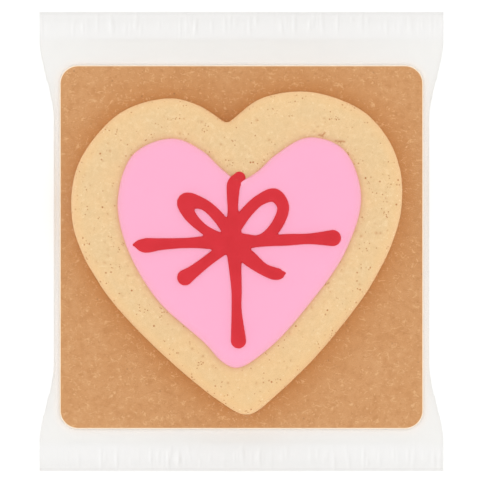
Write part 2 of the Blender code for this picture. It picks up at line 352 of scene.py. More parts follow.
def paint(material, shader, colour):
    """Links a colour to the shader."""
    material.node_tree.links.new(colour, shader.inputs["Base Color"])


def mark(material, name):
    """A number stored on the mesh's points under that name."""
    return node(material, "Attribute", attribute_name=name).outputs["Fac"]


# %% [markdown]
# ## The kraft card
#
# A square of brown board, cut with round corners. Its surface is pressed wood fibre: a fine grain,
# paler wisps where long fibres lie on top, and a few dark flecks of bark. The cut edge is paler
# than the face, and painted shade darkens the board round the cookie. An image texture would be
# the usual way; noise stretched in several directions gives the same wisps with nothing to load.

# %% Finish of the card
CARD_TONE = (0.610, 0.300, 0.118)
CARD_PALE = (0.670, 0.362, 0.164)
CARD_DEEP = (0.525, 0.235, 0.080)
CARD_FIBRE = (0.78, 0.475, 0.235)
CARD_FLECK = (0.33, 0.145, 0.058)
CARD_CUT = (0.94, 0.80, 0.62)
# painted shade on the board round the cookie
CARD_PAINTED_SHADE = (0.57, 0.25, 0.070)


def fibres(material, length, width, part, turn):
    """1 along short curly threads: the line where cloudy noise passes its middle value, kept only
    in the places where a second noise is high."""
    cloud = noise(material, length, 1, 0.5, 0.8, (1, 1.6, 1), turn)
    line = between(material, maths(material, "ABSOLUTE", maths(material, "SUBTRACT", cloud, 0.5)), width, 0.0)
    kept = between(material, noise(material, 0.8 * length, 1, 0.5, 0.0, (1, 1, 1.3), turn), part, part + 0.08)
    return maths(material, "MULTIPLY", line, kept)


card_finish, card_shader = finish("kraft_board", 0.82)
clouds = between(card_finish, noise(card_finish, 11 * MM, 3, 0.6), 0.32, 0.68)
card_colour = blend(card_finish, maths(card_finish, "MULTIPLY", clouds, 0.4), CARD_TONE, CARD_PALE)
blots = noise(card_finish, 2.4 * MM, 3, 0.62)
deep_share = maths(card_finish, "MULTIPLY", between(card_finish, blots, 0.5, 0.75), 0.75)
card_colour = blend(card_finish, deep_share, card_colour, CARD_DEEP)
pale_share = maths(card_finish, "MULTIPLY", between(card_finish, blots, 0.46, 0.25), 0.6)
card_colour = blend(card_finish, pale_share, card_colour, CARD_PALE)
# Painted shade: the board is darker round the cookie.
card_colour = blend(card_finish, mark(card_finish, "painted_shade"), card_colour, CARD_PAINTED_SHADE)
for length, turn, tone in (
    (2.6 * MM, 0.3, CARD_FIBRE),
    (2.1 * MM, 1.4, CARD_FIBRE),
    (2.9 * MM, 2.4, CARD_DEEP),
    (1.7 * MM, 0.9, CARD_DEEP),
):
    thread = maths(card_finish, "MULTIPLY", fibres(card_finish, length, 0.028, 0.52, turn), 0.75)
    card_colour = blend(card_finish, thread, card_colour, tone)
grain = noise(card_finish, 0.45 * MM, 2, 0.6)
flecks = maths(
    card_finish,
    "MULTIPLY",
    spots(card_finish, 2.8 * MM, 0.42 * MM),
    between(card_finish, noise(card_finish, 3.1 * MM), 0.52, 0.6),
)
card_colour = blend(card_finish, maths(card_finish, "MULTIPLY", flecks, 0.8), card_colour, CARD_FLECK)
motes = maths(
    card_finish,
    "MULTIPLY",
    spots(card_finish, 1.7 * MM, 0.36 * MM),
    between(card_finish, noise(card_finish, 2.3 * MM), 0.50, 0.6),
)
card_colour = blend(card_finish, maths(card_finish, "MULTIPLY", motes, 0.75), card_colour, CARD_FIBRE)
card_colour = blend(card_finish, mark(card_finish, "cut"), card_colour, CARD_CUT)
paint(card_finish, card_shader, card_colour)
bump(card_finish, card_shader, grain, 0.03 * MM, 0.6)
print("kraft board mixes", len(card_finish.node_tree.nodes), "nodes")


# %% Shape of the card
def round_square(half, corner, per_corner):
    """A square's outline with quarter circles at its corners, counter-clockwise."""
    turns = np.linspace(0, math.pi / 2, per_corner)
    arcs = []
    for quarter, place in enumerate(((1, 1), (-1, 1), (-1, -1), (1, -1))):
        angles = turns + quarter * math.pi / 2
        arc = corner * np.stack([np.cos(angles), np.sin(angles)], axis=1)
        arcs.append(arc + (half - corner) * np.array(place))
    return evenly_spaced(np.vstack(arcs), 480)[0]


CARD_CORNER = 5.6 * MM
CARD_EDGE = 0.28 * MM  # the corner that the knife rounds over
CARD_SHADE_REACH = 4.5 * MM  # how far the painted shade beside the cookie reaches into the board
card_middle = (card_low + card_high)[:2] / 2
card_half = (card_high - card_low)[0] / 2
card_side = round_square(card_half, CARD_CORNER, 24) + card_middle
inner_side = inset(card_side, CARD_EDGE)
shares = np.concatenate([[1, 0.999, 0.99], np.linspace(0.97, 0, 36)])
card_rings = np.array(
    shrunk_rings(inner_side, card_middle, shares[::-1], card_low[2])
    + [ring_at(card_side, card_low[2] + CARD_EDGE), ring_at(card_side, card_high[2] - CARD_EDGE)]
    + shrunk_rings(inner_side, card_middle, shares, card_high[2])
)
cut = np.zeros(card_rings.shape[:2])
cut[len(shares) - 1 : len(shares) + 3] = 1
# Painted shade beside the cookie, fading away from its edge.
beside_cookie = np.minimum(inside_by(biscuit_edge, card_rings[..., 0], card_rings[..., 1]), 0)
painted_shade = 0.85 * np.exp(beside_cookie / CARD_SHADE_REACH)
card = skin("kraft_card", card_rings, card_finish, {"cut": cut, "painted_shade": painted_shade})

# %% [markdown]
# ## The cookie
#
# Rolled dough is cut with a sharp edge, and the oven rounds that edge over and lifts the top a
# little. The skin dries smooth, with pinholes where steam came out and a faint warmth of colour
# towards the rim. Sculpting could do this; rings that follow the cutter's line, then shrink
# towards the middle, put the grid's rows where the form turns. Wide undulation, crumb and the
# larger pits are real relief in the mesh, and only the finest grain is left to the material.

# %% Rings of the cookie
EDGE_ROUND = 2.4 * MM  # radius of the top edge
BASE_ROUND = 1.0 * MM
DOME = 0.3 * MM
base = card_high[2]
rim = biscuit_high[2] - DOME
middle = biscuit_edge.mean(axis=0)
cookie_rings = shrunk_rings(inset(biscuit_edge, BASE_ROUND), middle, (0, 0.4, 0.8, 0.95, 1), base)
for angle in np.radians((35, 65, 90)):
    line = inset(biscuit_edge, BASE_ROUND * (1 - math.sin(angle)))
    cookie_rings.append(ring_at(line, base + BASE_ROUND * (1 - math.cos(angle))))
for height in np.linspace(base + BASE_ROUND, rim - EDGE_ROUND, 10)[1:]:
    cookie_rings.append(ring_at(biscuit_edge, height))
for angle in np.radians(np.linspace(0, 90, 14)[1:]):
    line = inset(biscuit_edge, EDGE_ROUND * (1 - math.cos(angle)))
    cookie_rings.append(ring_at(line, rim - EDGE_ROUND * (1 - math.sin(angle))))
top_edge = inset(biscuit_edge, EDGE_ROUND)
top_shares = np.concatenate([np.linspace(1, 0.5, 54)[1:], np.linspace(0.5, 0, 8)[1:]])
for share in top_shares:
    height = biscuit_high[2] - DOME * share**2
    cookie_rings += shrunk_rings(top_edge, middle, (share,), height)
cookie_rings = np.array(cookie_rings)
print("cookie grid:", cookie_rings.shape[:2])

# %% Relief of the cookie
chance = np.random.default_rng(7)
x, y, z = np.moveaxis(cookie_rings, -1, 0)
from_rim = inside_by(biscuit_edge, x, y)
from_icing = -inside_by(icing_edge, x, y)
relief = 0.10 * MM * unevenness(cookie_rings, 14 * MM, 1)
relief += 0.06 * MM * unevenness(cookie_rings, 5 * MM, 2)
relief += 0.035 * MM * unevenness(cookie_rings, 1.8 * MM, 3)
relief += 0.02 * MM * unevenness(cookie_rings, 0.9 * MM, 4)
on_top = z > rim - EDGE_ROUND
pits = np.zeros(relief.shape)
for _ in range(230):
    row, column = chance.integers(30, 86), chance.integers(AROUND)
    radius = chance.uniform(0.28, 0.6) * MM
    away = np.linalg.norm(cookie_rings - cookie_rings[row, column], axis=-1)
    pits = np.maximum(pits, np.exp(-((away / radius) ** 2)) * chance.uniform(0.3, 1))
relief -= 0.28 * MM * pits


# %% [markdown]
# Two short cracks run beside the icing's upper right edge, where the dough dried first. Each is a
# wandering line, and the surface sinks where it is close to one.

# %% Cracks
def near_line(points, line, width):
    """1 on the line and 0 beyond width from it, with a round fall between."""
    away = np.full(points.shape[:-1], np.inf)
    for place in line:
        away = np.minimum(away, np.linalg.norm(points[..., :2] - place, axis=-1))
    return np.exp(-((away / width) ** 2))


CRACKS = (
    ((23.6, 32.4), (24.4, 32.2), (25.2, 32.9)),
    ((24.4, 32.2), (24.6, 31.6)),
    ((28.6, 30.6), (29.5, 30.3), (30.4, 30.4), (31.2, 30.2)),
)
cracks = np.zeros(relief.shape)
for line in CRACKS:
    cracks = np.maximum(cracks, near_line(cookie_rings, spline(line, 12) * MM, 0.3 * MM))
relief -= 0.3 * MM * cracks
relief *= smooth_step(base, base + 2 * MM, z)
cookie_rings = raised(cookie_rings, relief)
cookie_rings[0], cookie_rings[-1] = cookie_rings[0, 0], cookie_rings[-1, 0]
print("deepest pit, mm:", round(float(relief.min()) / MM, 2))

# %% [markdown]
# The baker's colours: pale gold on top, a shade warmer at the rim and on the wall, and brown
# underneath where the dough met the tray. Painted shade lies in a line where the icing sits on it
# and in a band round the rim. Four numbers stored on the mesh's points say where each belongs.

# %% Finish of the cookie
DOUGH = (0.822, 0.565, 0.292)
DOUGH_GREY = (0.790, 0.558, 0.297)
DOUGH_PALE = (0.92, 0.70, 0.42)
DOUGH_DEEP = (0.72, 0.485, 0.235)
DOUGH_WARM = (0.84, 0.52, 0.228)
DOUGH_SHADED = (0.73, 0.475, 0.262)
DOUGH_BAKED = (0.62, 0.32, 0.11)
PORE = (0.46, 0.14, 0.025)

dough, dough_shader = finish("baked_dough", 0.8)
patches = between(dough, noise(dough, 8 * MM, 3, 0.6), 0.38, 0.62)
dough_colour = blend(dough, patches, DOUGH, DOUGH_GREY)
crumb = noise(dough, 1.5 * MM, 4, 0.75, 0.6)
deep_share = maths(dough, "MULTIPLY", between(dough, crumb, 0.50, 0.74), 0.6)
dough_colour = blend(dough, deep_share, dough_colour, DOUGH_DEEP)
pale_share = maths(dough, "MULTIPLY", between(dough, crumb, 0.48, 0.26), 0.6)
dough_colour = blend(dough, pale_share, dough_colour, DOUGH_PALE)
dough_colour = blend(dough, mark(dough, "warm"), dough_colour, DOUGH_WARM)
dough_colour = blend(dough, mark(dough, "baked"), dough_colour, DOUGH_BAKED)
dough_colour = blend(dough, mark(dough, "shaded"), dough_colour, DOUGH_SHADED)
pinholes = maths(
    dough,
    "MULTIPLY",
    spots(dough, 0.85 * MM, 0.26 * MM),
    between(dough, noise(dough, 3.2 * MM, 2), 0.57, 0.61),
)
holes = maths(
    dough,
    "MULTIPLY",
    spots(dough, 1.5 * MM, 0.40 * MM),
    between(dough, noise(dough, 5.5 * MM, 3), 0.60, 0.62),
)
pinholes = maths(dough, "MAXIMUM", pinholes, holes)
glints = maths(
    dough,
    "MULTIPLY",
    spots(dough, 1.2 * MM, 0.36 * MM),
    between(dough, noise(dough, 2.6 * MM, 1), 0.54, 0.60),
)
dough_colour = blend(dough, maths(dough, "MULTIPLY", glints, 0.9), dough_colour, DOUGH_PALE)
dough_colour = blend(dough, maths(dough, "MULTIPLY", pinholes, 1.4), dough_colour, PORE)
dough_colour = blend(dough, mark(dough, "pore"), dough_colour, PORE)
paint(dough, dough_shader, dough_colour)
grain_height = maths(dough, "SUBTRACT", crumb, maths(dough, "MULTIPLY", pinholes, 0.8))
bump(dough, dough_shader, grain_height, 0.16 * MM, 0.6)

warm = 0.45 * (1 - smooth_step(0.2 * MM, 4 * MM, from_rim))
warm += 0.25 * smooth_step(-12 * MM, -45 * MM, y)
warm = np.minimum(warm + 0.35 * (1 - smooth_step(0.1 * MM, 0.8 * MM, from_rim)), 1)
# Painted shade beside the icing and in a band round the rim.
shaded = 0.55 * (1 - smooth_step(0.1 * MM, 1.6 * MM, from_icing))
shaded = np.maximum(shaded, 0.4 * (1 - smooth_step(0.2 * MM, 2.4 * MM, from_rim)))
baked = 0.35 * smooth_step(rim - 1.5 * MM, base + 1 * MM, z)
baked = np.maximum(baked, 0.75 * smooth_step(base + 1.2 * MM, base, z))
pore = np.clip(0.55 * pits**2 + 0.8 * cracks**2, 0, 1)
marks = {"warm": warm, "baked": baked, "shaded": shaded, "pore": pore}
cookie = skin("heart_cookie", cookie_rings, dough, marks)

# %% [markdown]
# ## Pink icing
#
# Flood icing is runny: a baker pipes a border, fills it, and it levels itself before it sets, so
# the top is flat, the lip is round and the edge wavers by a fraction of a millimetre. The lip is
# an elliptic arc, steeper than a quarter circle where it meets the cookie.

# %% Rings of the pink icing
LIP = 0.9 * MM  # how far in from its edge the icing takes to reach full height
sunk = biscuit_high[2] - 0.45 * MM
icing_middle = icing_edge.mean(axis=0)
icing_rings = shrunk_rings(inset(icing_edge, 0.15 * MM), icing_middle, (0, 0.5, 0.95, 1), sunk)
for angle in np.radians(np.linspace(-20, 90, 14)):
    line = inset(icing_edge, LIP * (1 - math.cos(angle)))
    lift = max(math.sin(angle), -0.3)
    mid_height = biscuit_high[2] + 0.25 * MM
    icing_rings.append(ring_at(line, mid_height + (icing_high[2] - mid_height) * lift))
lip_inside = inset(icing_edge, LIP)
icing_shares = 1 - np.linspace(0, 1, 80)[1:] ** 1.15
icing_rings += shrunk_rings(lip_inside, icing_middle, icing_shares, icing_high[2])
icing_rings = np.array(icing_rings)
ix, iy, iz = np.moveaxis(icing_rings, -1, 0)
icing_in = inside_by(icing_edge, ix, iy)
ripple = 0.035 * MM * unevenness(icing_rings, 9 * MM, 11) + 0.02 * MM * unevenness(icing_rings, 3 * MM, 12)
ripple -= 0.05 * MM * np.exp(-(((icing_in - 1.6 * MM) / (0.9 * MM)) ** 2))
icing_rings = raised(icing_rings, ripple * smooth_step(sunk, mid_height, iz) - 0.04 * MM)
icing_rings[0], icing_rings[-1] = icing_rings[0, 0], icing_rings[-1, 0]
print("icing grid:", icing_rings.shape[:2])

# %% Finish of the pink icing
PINK = (0.975, 0.414, 0.606)
PINK_PALE = (0.98, 0.428, 0.616)
PINK_EDGE = (0.86, 0.405, 0.515)
# painted light: a paler pink beside the beads
PINK_PAINTED_LIGHT = (0.99, 0.462, 0.630)

pink, pink_shader = finish("pink_icing", 0.5)
pink_cloud = between(pink, noise(pink, 14 * MM, 2), 0.35, 0.65)
pink_colour = blend(pink, maths(pink, "MULTIPLY", pink_cloud, 0.4), PINK, PINK_PALE)
pink_colour = blend(pink, mark(pink, "edge"), pink_colour, PINK_EDGE)
# Painted light on the pink beside the beads.
pink_colour = blend(pink, mark(pink, "painted_light"), pink_colour, PINK_PAINTED_LIGHT)
paint(pink, pink_shader, pink_colour)
sugar = noise(pink, 0.7 * MM, 3, 0.6)
bump(pink, pink_shader, sugar, 0.02 * MM, 0.35)
pink_shader.inputs["Subsurface Weight"].default_value = 0.08
pink_shader.inputs["Subsurface Radius"].default_value = (1.0, 0.4, 0.5)
pink_shader.inputs["Subsurface Scale"].default_value = 1.2 * MM

edge_mark = np.exp(-((np.maximum(icing_in, 0) / (1.1 * MM)) ** 1.3))
icing = skin("pink_icing_heart", icing_rings, pink, {"edge": edge_mark})

# %% [markdown]
# ## The piped bow
#
# A baker draws the bow in six strokes with a thin nozzle. Each stroke is a rounded bead whose
# width swells where the hand slows, and where strokes cross they run together before they set.
# Metaballs would melt together too, but a profile carried along a path keeps the true widths.
# The beads are joined by a voxel remesh, which does what wet icing does at the crossings.

# %% The strokes: x, y and half the bead's width, in mm
BOW_STROKES = {
    "upright": (
        (-0.65, 19.35, 1.9), (-2.2, 17.6, 2.1), (-2.6, 14.4, 1.9), (-2.6, 9.4, 1.65),
        (-2.4, 0.9, 2.6), (-1.95, -7.6, 1.95), (-1.5, -14.9, 1.6), (-1.5, -20.4, 1.55),
        (-0.9, -30.1, 2.35),
    ),
    "crossbar": (
        (-32.7, -1.0, 0.4), (-31.4, -1.0, 1.45), (-29.3, -1.2, 2.2), (-24.2, -0.8, 1.8),
        (-15.6, -0.4, 1.6), (-2.6, 0.0, 2.7), (6.3, 0.05, 1.65), (13.7, 0.5, 1.8),
        (20.3, 0.8, 1.65), (27.7, 1.05, 2.5),
    ),
    "left_loop": (
        (-2.6, 0.9, 1.9), (-6.8, 7.1, 1.8), (-11.6, 11.3, 1.75), (-16.8, 12.05, 2.7),
        (-15.9, 8.4, 2.0), (-11.5, 3.8, 1.5), (-3.7, -0.6, 2.1),
    ),
    "right_loop": (
        (-2.2, 3.7, 1.9), (1.75, 9.1, 1.8), (5.75, 12.7, 1.75), (10.0, 14.0, 2.1),
        (12.6, 10.6, 1.85), (10.6, 4.8, 1.8), (6.3, 0.7, 1.7), (0.8, -0.3, 2.0),
    ),
    "left_tail": ((-4.4, -1.4, 1.9), (-9.8, -5.45, 1.7), (-14.4, -9.0, 1.95), (-17.1, -10.9, 2.45)),
    "right_tail": (
        (-0.1, -3.0, 2.3), (2.6, -5.3, 2.35), (6.6, -8.35, 1.85), (10.2, -9.75, 1.9),
        (12.1, -9.8, 1.45), (13.0, -9.6, 0.5),
    ),
}
BEAD_RISE = 0.68 * MM  # height of a bead whose half width is 1 mm
BEAD_FLATNESS = 0.55  # 1 gives an ellipse, less gives steeper sides and a flatter top


# %% A bead along its path
def bead(points):
    """Rings of a low arch, flat underneath, carried along the spline through the points, with
    round ends. The arch is a sine raised to BEAD_FLATNESS, and its height grows as the square
    root of its width. Each ring stands on what lies under it: the icing, or the cookie past the
    icing's edge."""
    path = spline(points, 10) * MM
    centre, width = path[:, :2], path[:, 2]
    along = np.gradient(centre, axis=0)
    along /= np.linalg.norm(along, axis=1)[:, None]
    cap = np.radians((89, 70, 50, 30, 14))
    centre = np.vstack([
        centre[0] - along[0] * width[0] * np.sin(cap)[:, None],
        centre,
        centre[-1] + along[-1] * width[-1] * np.sin(cap[::-1])[:, None],
    ])
    along = np.vstack([np.tile(along[0], (5, 1)), along, np.tile(along[-1], (5, 1))])
    width = np.concatenate([width[0] * np.cos(cap), width, width[-1] * np.cos(cap[::-1])])
    over = smooth_step(-1.4 * MM, 0.8 * MM, inside_by(icing_edge, *centre.T))
    floor = biscuit_high[2] + (icing_high[2] - biscuit_high[2]) * over
    turn = np.concatenate([np.linspace(0, np.pi, 17), [np.pi, 0.75 * np.pi, 0.25 * np.pi, 0]])
    lift = np.concatenate([np.clip(np.sin(turn[:17]), 0, 1) ** BEAD_FLATNESS, np.zeros(4)])
    side = np.outer(width, np.cos(turn))
    rings = np.empty((len(centre), len(turn), 3))
    rings[..., :2] = centre[:, None] + side[..., None] * np.stack([-along[:, 1], along[:, 0]], 1)[:, None]
    sink = np.where(np.arange(len(turn)) < 17, 0.0, 0.35 * MM)
    rings[..., 2] = floor[:, None] + BEAD_RISE * np.outer(np.sqrt(width / MM), lift) - sink
    return rings


# %% Beads joined as wet icing joins
def tube_mesh(name, tubes):
    """One mesh of several closed tubes, each an array of (rings, points, 3) with flat ends."""
    points, faces, first = [], [], 0
    for rings in tubes:
        count, around = rings.shape[:2]
        number = first + np.arange(count * around).reshape(count, around)
        after = np.roll(number, -1, axis=1)
        quads = np.stack([number[:-1], number[1:], after[1:], after[:-1]], axis=-1)
        faces += quads.reshape(-1, 4).tolist()
        faces += [number[0].tolist(), number[-1, ::-1].tolist()]
        points.append(rings.reshape(-1, 3))
        first += count * around
    mesh = bpy.data.meshes.new(name)
    mesh.from_pydata(np.vstack(points).tolist(), [], faces)
    return mesh


def applied(piece):
    """The piece with its modifiers worked into its mesh."""
    graph = bpy.context.evaluated_depsgraph_get()
    finished = bpy.data.meshes.new_from_object(piece.evaluated_get(graph))
    piece.modifiers.clear()
    piece.data = finished
    return piece


red, red_shader = finish("red_icing", 0.48)
red_shader.inputs["Specular IOR Level"].default_value = 0.22
bow = placed("red_bow_piped", tube_mesh("beads", [bead(p) for p in BOW_STROKES.values()]), red)
melt = bow.modifiers.new("melt", "REMESH")
melt.mode = "VOXEL"
melt.voxel_size = 0.24 * MM
settle = bow.modifiers.new("settle", "SMOOTH")
settle.factor = 0.5
settle.iterations = 6
applied(bow)
bow.data.shade_smooth()
print("bow:", len(bow.data.polygons), "faces")

# %% [markdown]
# The pink beside a bead is painted paler, a painted light that lifts the shade where a bead meets the
# icing. The icing's mesh gets one more number, which is highest at a bead's side and dies out in half a
# millimetre.

# %% Pink beside the beads
def beside_beads(x, y):
    """Distance from each point to the nearest bead's side, negative under a bead."""
    nearest = np.full(x.shape, np.inf)
    for points in BOW_STROKES.values():
        for centre_x, centre_y, half in spline(points, 10) * MM:
            nearest = np.minimum(nearest, np.hypot(x - centre_x, y - centre_y) - half)
    return nearest


pink_places = np.array([vertex.co for vertex in icing.data.vertices])
from_bead = beside_beads(pink_places[:, 0], pink_places[:, 1])
# Painted light beside the beads, highest at a bead's side.
painted_light = np.exp(-((np.maximum(from_bead, 0) / (0.55 * MM)) ** 2))
icing.data.attributes.new("painted_light", "FLOAT", "POINT").data.foreach_set("value", painted_light)

# %% Finish of the red icing
RED = (0.668, 0.0210, 0.0350)
RED_DEEP = (0.630, 0.0175, 0.0290)

red_cloud = between(red, noise(red, 6 * MM, 2), 0.35, 0.65)
paint(red, red_shader, blend(red, red_cloud, RED, RED_DEEP))
bump(red, red_shader, noise(red, 0.6 * MM, 3, 0.6), 0.02 * MM, 0.35)

# %% [markdown]
# ## The film sleeve
#
# Clear film is drawn into a flat tube, filled, and crimped shut across both ends. Between the
# crimps it is stretched over the card and the cookie, so it touches only their high places and
# spans the rest in a straight pull. Cloth simulation would find that shape; a stretched skin has
# a simpler rule. Every point sits at the mean height of its neighbours, unless what is under it
# holds it higher.

# %% The sleeve's outline from above
SEAL_DEPTH = 8.5 * MM
half_length = (film_high - film_low)[1] / 2
seal_half = (film_high - film_low)[0] / 2
WAIST_HALF = 57.1 * MM
SHOULDER = (8 * MM, 33 * MM)  # from the end: where the sleeve starts to narrow, and has narrowed


def half_width(along):
    """Half the sleeve's width: full at the crimps, eased in to the waist by the smooth step, with
    small waves where the fold gives way in steps."""
    eased = smooth_step(*SHOULDER, half_length - abs(along))
    waves = 0.16 * MM * np.sin(along / (0.62 * MM)) * np.sin(along / (1.7 * MM) + 1)
    return seal_half + (WAIST_HALF - seal_half) * eased + waves * 4 * eased * (1 - eased)


# %% What holds the film up
CLEAR = 0.2 * MM  # between the film and what it lies on


def beyond_card(x, y):
    """Distance from the card's round-cornered square, negative over the card."""
    right = abs(x - card_middle[0]) - (card_half - CARD_CORNER)
    up = abs(y - card_middle[1]) - (card_half - CARD_CORNER)
    corner = np.hypot(np.maximum(right, 0), np.maximum(up, 0))
    return np.where((right > 0) & (up > 0), corner, np.maximum(right, up)) - CARD_CORNER


def contents_height(x, y):
    """Height of the highest thing under each point: board, rounded cookie, then icing."""
    top = np.where(beyond_card(x, y) < 0.3 * MM, card_high[2], 0.25 * MM)
    into = inside_by(biscuit_edge, x, y)
    drop = np.clip(EDGE_ROUND - into, 0, EDGE_ROUND) / EDGE_ROUND
    edge = rim - EDGE_ROUND * (1 - np.sqrt(1 - drop**2))
    top = np.where(into > 0, edge + DOME * (into > EDGE_ROUND), top)
    top = np.where(inside_by(icing_edge, x, y) > 0, icing_high[2], top)
    return top


# %% The stretched skin
def stretched(floor, rounds):
    """Skin pulled tight over floor, an array of heights whose border is held: each round moves
    every second point, then the others, past the mean of its neighbours and never below floor."""
    height = floor.copy()
    i, j = np.indices(floor.shape)
    inner = (i > 0) & (j > 0) & (i < floor.shape[0] - 1) & (j < floor.shape[1] - 1)
    for _ in range(rounds):
        for parity in (0, 1):
            around = (
                np.roll(height, 1, 0) + np.roll(height, -1, 0) + np.roll(height, 1, 1) + np.roll(height, -1, 1)
            ) / 4
            moved = np.maximum(floor, height + 1.85 * (around - height))
            height = np.where(inner & ((i + j) % 2 == parity), moved, height)
    return height


ACROSS, ALONG = 150, 150
body_half = half_length - SEAL_DEPTH
SEAM_ROW = 0.05 * MM  # a last narrow row at each end, which keeps the shading crisp there
sleeve_y = np.linspace(SEAM_ROW - body_half, body_half - SEAM_ROW, ALONG)
sleeve_u = np.linspace(-1, 1, ACROSS)
front_x = np.outer(half_width(sleeve_y), sleeve_u)
front_y = np.broadcast_to(sleeve_y[:, None], front_x.shape)
held_up = contents_height(front_x, front_y)
beads = np.array([vertex.co for vertex in bow.data.vertices])
rows = np.rint((beads[:, 1] + body_half) / (2 * body_half) * (ALONG - 1)).astype(int)
columns = np.rint((beads[:, 0] / half_width(beads[:, 1]) + 1) / 2 * (ACROSS - 1)).astype(int)
np.maximum.at(held_up, (rows, columns), beads[:, 2])
held_up += CLEAR
SEAM_LOW, SEAM_HIGH = 0.22 * MM, 0.29 * MM  # the two layers where the jaws close on them
held_up[0] = held_up[-1] = SEAM_HIGH
held_up[:, 0] = held_up[:, -1] = SEAM_HIGH
front_z = stretched(held_up, 260)
print("film peak, mm:", round(float(front_z.max()) / MM, 2))

# %% [markdown]
# Film is thin and stiff, so where it hangs free it creases. The creases run from the crimps
# towards the cookie and die out where the film is held tight. They are noise stretched along that
# direction, sharpened into ridges.

# %% Creases where the film hangs free
free = smooth_step(0.1 * MM, 2.5 * MM, front_z - held_up)
free *= smooth_step(0, 5 * MM, body_half - abs(front_y)) * smooth_step(0, 0.04, 1 - abs(sleeve_u))
flat_place = np.stack([front_x, front_y, np.zeros_like(front_x)], axis=-1)
lengthwise = unevenness(flat_place * (1, 0.18, 1), 3.2 * MM, 21)
crosswise = unevenness(flat_place * (0.25, 1, 1), 5.0 * MM, 22)
side_share = smooth_step(0.82, 0.95, abs(sleeve_u)) * smooth_step(20 * MM, 10 * MM, abs(front_y) - 30 * MM)
crease = (1 - side_share) * (1 - 2 * abs(lengthwise)) + side_share * (1 - 2 * abs(crosswise))
front_z = np.maximum(front_z + 0.28 * MM * free * crease, held_up - CLEAR / 2)


# %% The sleeve as a closed skin
def flat_tube(name, front, back, finish, haze):
    """A closed flat tube: front and back are grids of (rows, columns, 3) seen from above, joined
    along their sides and across both ends. haze is a number for each front point."""
    rows, columns = front.shape[:2]
    ring = np.concatenate([front, back[:, ::-1]], axis=1)
    around = ring.shape[1]
    number = np.arange(rows * around).reshape(rows, around)
    after = np.roll(number, -1, axis=1)
    quads = np.stack([number[:-1], after[:-1], after[1:], number[1:]], axis=-1)
    near, far = number[0], number[-1]
    steps = np.arange(columns - 1)
    mirror = around - 1 - steps
    near_cap = np.stack([near[steps], near[mirror], near[mirror - 1], near[steps + 1]], axis=-1)
    far_cap = np.stack([far[steps], far[steps + 1], far[mirror - 1], far[mirror]], axis=-1)
    faces = np.vstack([quads.reshape(-1, 4), near_cap, far_cap])
    mesh = bpy.data.meshes.new(name)
    mesh.from_pydata(ring.reshape(-1, 3).tolist(), [], faces.tolist())
    both = np.concatenate([haze, haze[:, ::-1]], axis=1)
    mesh.attributes.new("haze", "FLOAT", "POINT").data.foreach_set("value", both.ravel())
    return placed(name, mesh, finish)


# %% [markdown]
# Clear film shows itself only as a slight grey veil, a little denser where it is creased or
# doubled, and by its gloss where it turns away from the eye. The veil is the shader's alpha: a
# small share from a number on the mesh, and more at a glancing angle. Close to the card the film
# mirrors its brown, so the veil is warmer there.

# %% Finish of the film
FILM_TONE = (0.46, 0.42, 0.32)
CRIMP_TONE = (0.46, 0.43, 0.38)
GLANCE = 0.45  # how much of a veil the film is when seen almost edge on
NEAR_TONE = (0.92, 0.60, 0.34)
NEAR_VEIL = 0.015  # how much denser the veil is where the film mirrors the card
NEAR_WIDTH = 2.2 * MM


def past_card(material):
    """Distance past the card's round-cornered square, from each point's place: how far the point
    is past the middle of the corner's arc, less the arc's radius."""
    place = node(material, "TexCoord").outputs["Object"]
    axes = node(material, "SeparateXYZ", {0: place})
    past = []
    for axis in (0, 1):
        off = maths(material, "ABSOLUTE", maths(material, "SUBTRACT", axes.outputs[axis], card_middle[axis]))
        past.append(maths(material, "SUBTRACT", off, card_half - CARD_CORNER))
    out = [maths(material, "POWER", maths(material, "MAXIMUM", value, 0), 2) for value in past]
    corner = maths(material, "SQRT", maths(material, "ADD", *out))
    side = maths(material, "MINIMUM", maths(material, "MAXIMUM", *past), 0)
    return maths(material, "SUBTRACT", maths(material, "ADD", corner, side), CARD_CORNER)


def film_finish(name, tone):
    """Clear film: a veil of the tone as dense as the mesh's haze, denser at a glancing angle."""
    made, shader = finish(name, 0.16)
    shader.inputs["IOR"].default_value = 1.5
    past = past_card(made)
    near = between(made, past, -0.1 * MM, 0)
    near = maths(made, "MULTIPLY", near, between(made, past, NEAR_WIDTH, 0))
    paint(made, shader, blend(made, near, tone, NEAR_TONE))
    facing = node(made, "LayerWeight", {"Blend": 0.5}).outputs["Facing"]
    glance = maths(made, "MULTIPLY", maths(made, "POWER", facing, 2.6), GLANCE)
    veil = maths(made, "ADD", mark(made, "haze"), glance)
    veil = maths(made, "ADD", veil, maths(made, "MULTIPLY", near, NEAR_VEIL))
    made.node_tree.links.new(veil, shader.inputs["Alpha"])
    bump(made, shader, noise(made, 2.5 * MM, 2), 0.05 * MM, 0.4)
    return made


film = film_finish("clear_film", FILM_TONE)
crimped = film_finish("crimped_film", CRIMP_TONE)

# %% The sleeve between its crimps
BACK_HEIGHT = 0.08 * MM
outside = beyond_card(front_x, front_y)
haze = 0.010 + 0.040 * smooth_step(0, 1.6 * MM, outside)
haze += 0.012 * smooth_step(0.98, 1.0, abs(sleeve_u))
front = np.stack([front_x, front_y, front_z], axis=-1)
back_x = front_x * np.where(abs(sleeve_u) > 0.999, 1.0, 0.996)
near_rim = np.minimum((1 - abs(sleeve_u)) / 0.03, (body_half - abs(front_y)) / (3 * MM))
away = smooth_step(0, 1, near_rim)
ripples = 0.08 * MM * (1 + unevenness(flat_place * (1, 0.3, 1), 4 * MM, 23))
back_z = SEAM_LOW + (BACK_HEIGHT + ripples - SEAM_LOW) * away
back = np.stack([back_x, front_y, back_z], axis=-1)


